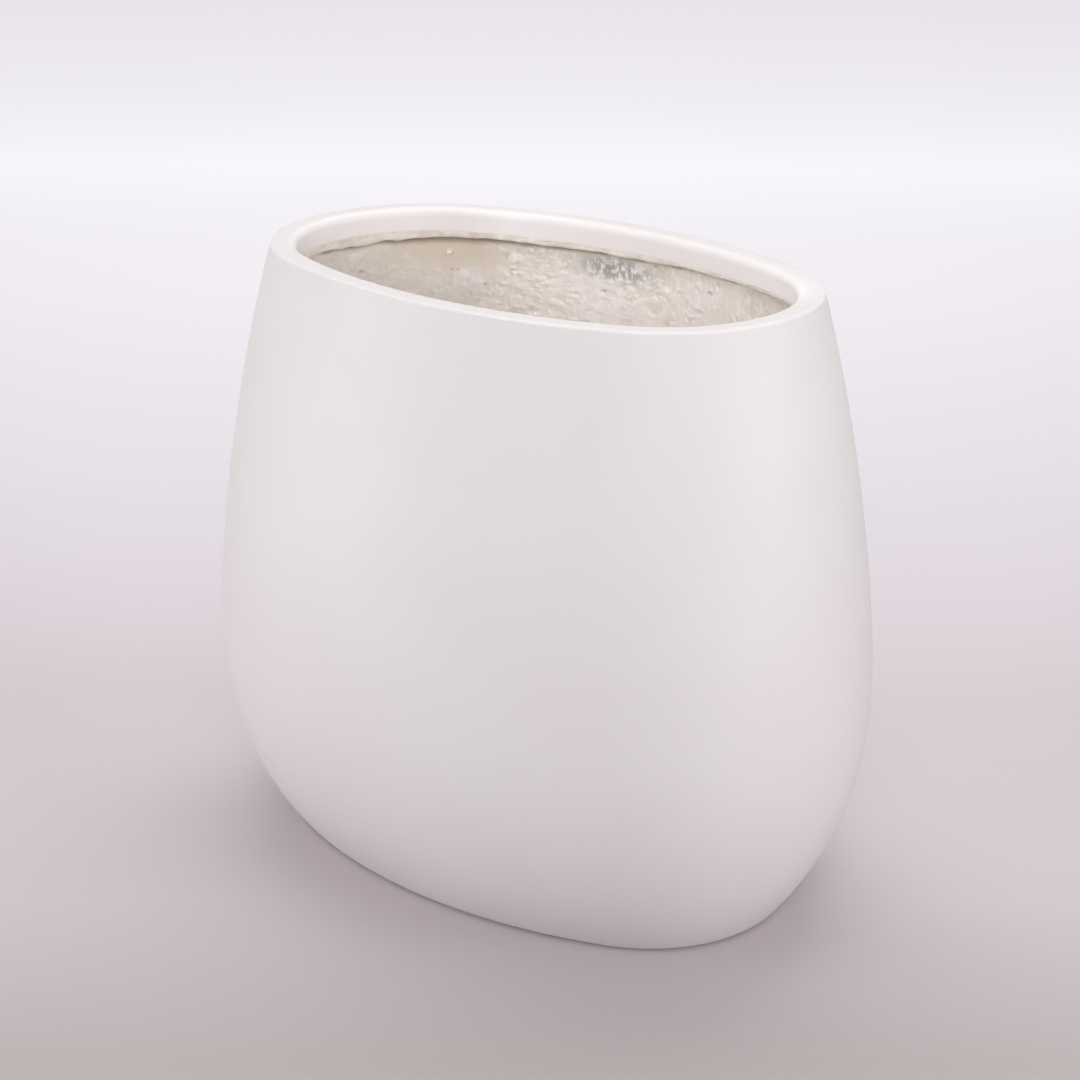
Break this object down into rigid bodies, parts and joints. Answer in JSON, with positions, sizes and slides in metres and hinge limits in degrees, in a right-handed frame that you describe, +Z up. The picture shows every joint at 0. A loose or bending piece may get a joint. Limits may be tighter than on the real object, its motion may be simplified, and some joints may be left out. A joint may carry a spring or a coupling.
{
  "type": "fiberglass planter",
  "caption": "Oval bellied floor planter in white painted glass fibre, with a bonded flat rim, a rough laminate lining, a plugged drain and thin rubber feet.",
  "frame": {"origin": "on the floor under the middle of the planter, at the underside of the feet", "axes": "+X along the long side of the oval, +Y across it, +Z up towards the mouth"},
  "size_m": [0.6908, 0.4718, 0.6],
  "materials": {
    "shell_paint": "satin white paint over glass fibre",
    "raw_laminate": "rough resin and glass mat, brushed with white filler",
    "raw_edge": "trimmed raw laminate edge",
    "drain_plastic": "moulded grey plastic",
    "plug_rubber": "moulded black rubber",
    "foot_rubber": "black sheet rubber"
  },
  "bodies": {
    "planter": {"outer_shell": "shell_paint", "rim_lip": "shell_paint", "inner_laminate": "raw_laminate", "floor_panel": "raw_laminate", "lip_backing": "raw_edge", "drain_bush": "drain_plastic", "foot_pad_1": "foot_rubber", "foot_pad_2": "foot_rubber", "foot_pad_3": "foot_rubber", "foot_pad_4": "foot_rubber"},
    "plug": {"drain_plug": "plug_rubber"}
  },
  "joints": [
    {"name": "plug_lift", "type": "slide", "parent": "planter", "child": "plug", "axis": [0, 0, 1], "range_m": [0, 0.65]}
  ]
}
